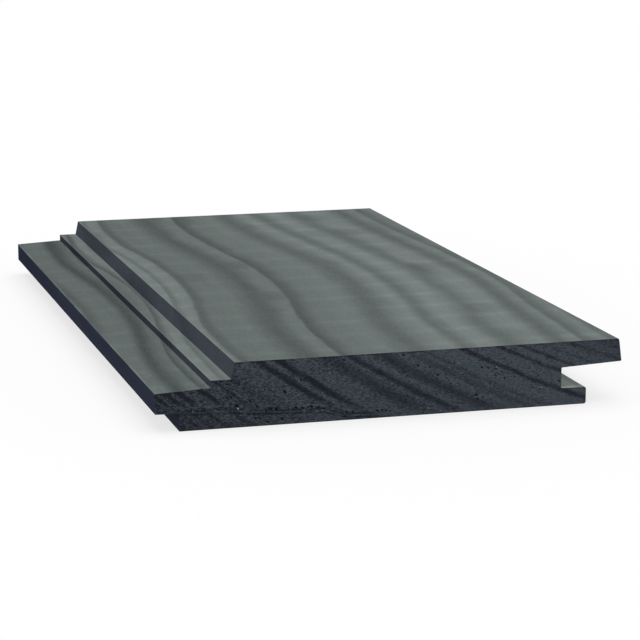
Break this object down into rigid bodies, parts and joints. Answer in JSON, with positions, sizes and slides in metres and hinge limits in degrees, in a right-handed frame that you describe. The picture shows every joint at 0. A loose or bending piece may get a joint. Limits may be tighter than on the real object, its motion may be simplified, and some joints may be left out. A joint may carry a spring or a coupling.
{
  "type": "shiplap cladding board",
  "caption": "Flat wooden cladding board in stained softwood, with a tongue and stepped shadow-gap rebate on one long edge and a groove under an overlapping face lip on the other.",
  "frame": {"origin": "middle of the board's box, on its back face", "axes": "+Z out of the board's face, +Y along the grain, +X from the tongue to the face lip"},
  "size_m": [0.14, 0.25, 0.019],
  "materials": {
    "stained_softwood": "matt grey-green stain over planed softwood, darker on the sawn ends"
  },
  "bodies": {
    "root": {"cladding_board": "stained_softwood"}
  },
  "joints": []
}
